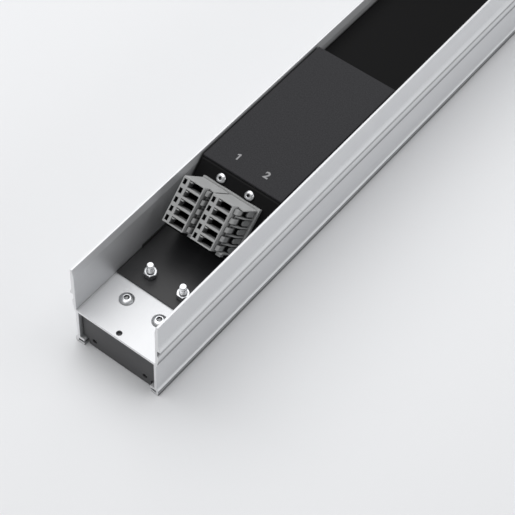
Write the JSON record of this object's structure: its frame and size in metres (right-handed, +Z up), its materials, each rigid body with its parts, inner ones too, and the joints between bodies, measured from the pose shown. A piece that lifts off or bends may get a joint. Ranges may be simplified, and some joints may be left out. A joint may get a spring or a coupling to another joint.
{
  "type": "rack power busbar",
  "caption": "Open aluminium channel rail with a web floor, slotted feet, and a covered power module whose slanted panel carries five pole infeed connectors.",
  "frame": {"origin": "centre of the length and width, at the underside of the feet", "axes": "+Y along the rail away from the infeed end, +Z up from the feet, +X across"},
  "size_m": [0.0886, 0.7, 0.1022],
  "materials": {
    "anodised_aluminium": "natural anodised extrusion",
    "grey_coated_sheet": "dark grey fine textured powder coat",
    "black_coated_sheet": "black satin powder coat",
    "zinc_plated_steel": "bright zinc plated",
    "grey_polyamide": "light grey moulded",
    "black_plastic": "black moulded"
  },
  "bodies": {
    "root": {"channel_rail": "anodised_aluminium", "end_bracket": "grey_coated_sheet", "web_screw_left": "zinc_plated_steel", "web_screw_right": "zinc_plated_steel", "stud_left": "zinc_plated_steel", "stud_right": "zinc_plated_steel", "nut_left": "zinc_plated_steel", "nut_right": "zinc_plated_steel", "floor_tray": "black_coated_sheet", "module_housing": "black_coated_sheet", "module_cover": "grey_coated_sheet", "panel_screw_left": "zinc_plated_steel", "panel_screw_right": "zinc_plated_steel", "infeed_connector_1": "grey_polyamide", "infeed_connector_2": "grey_polyamide", "clamp_row_1": "grey_polyamide", "clamp_row_2": "grey_polyamide", "rail_insert": "black_plastic"}
  },
  "joints": []
}
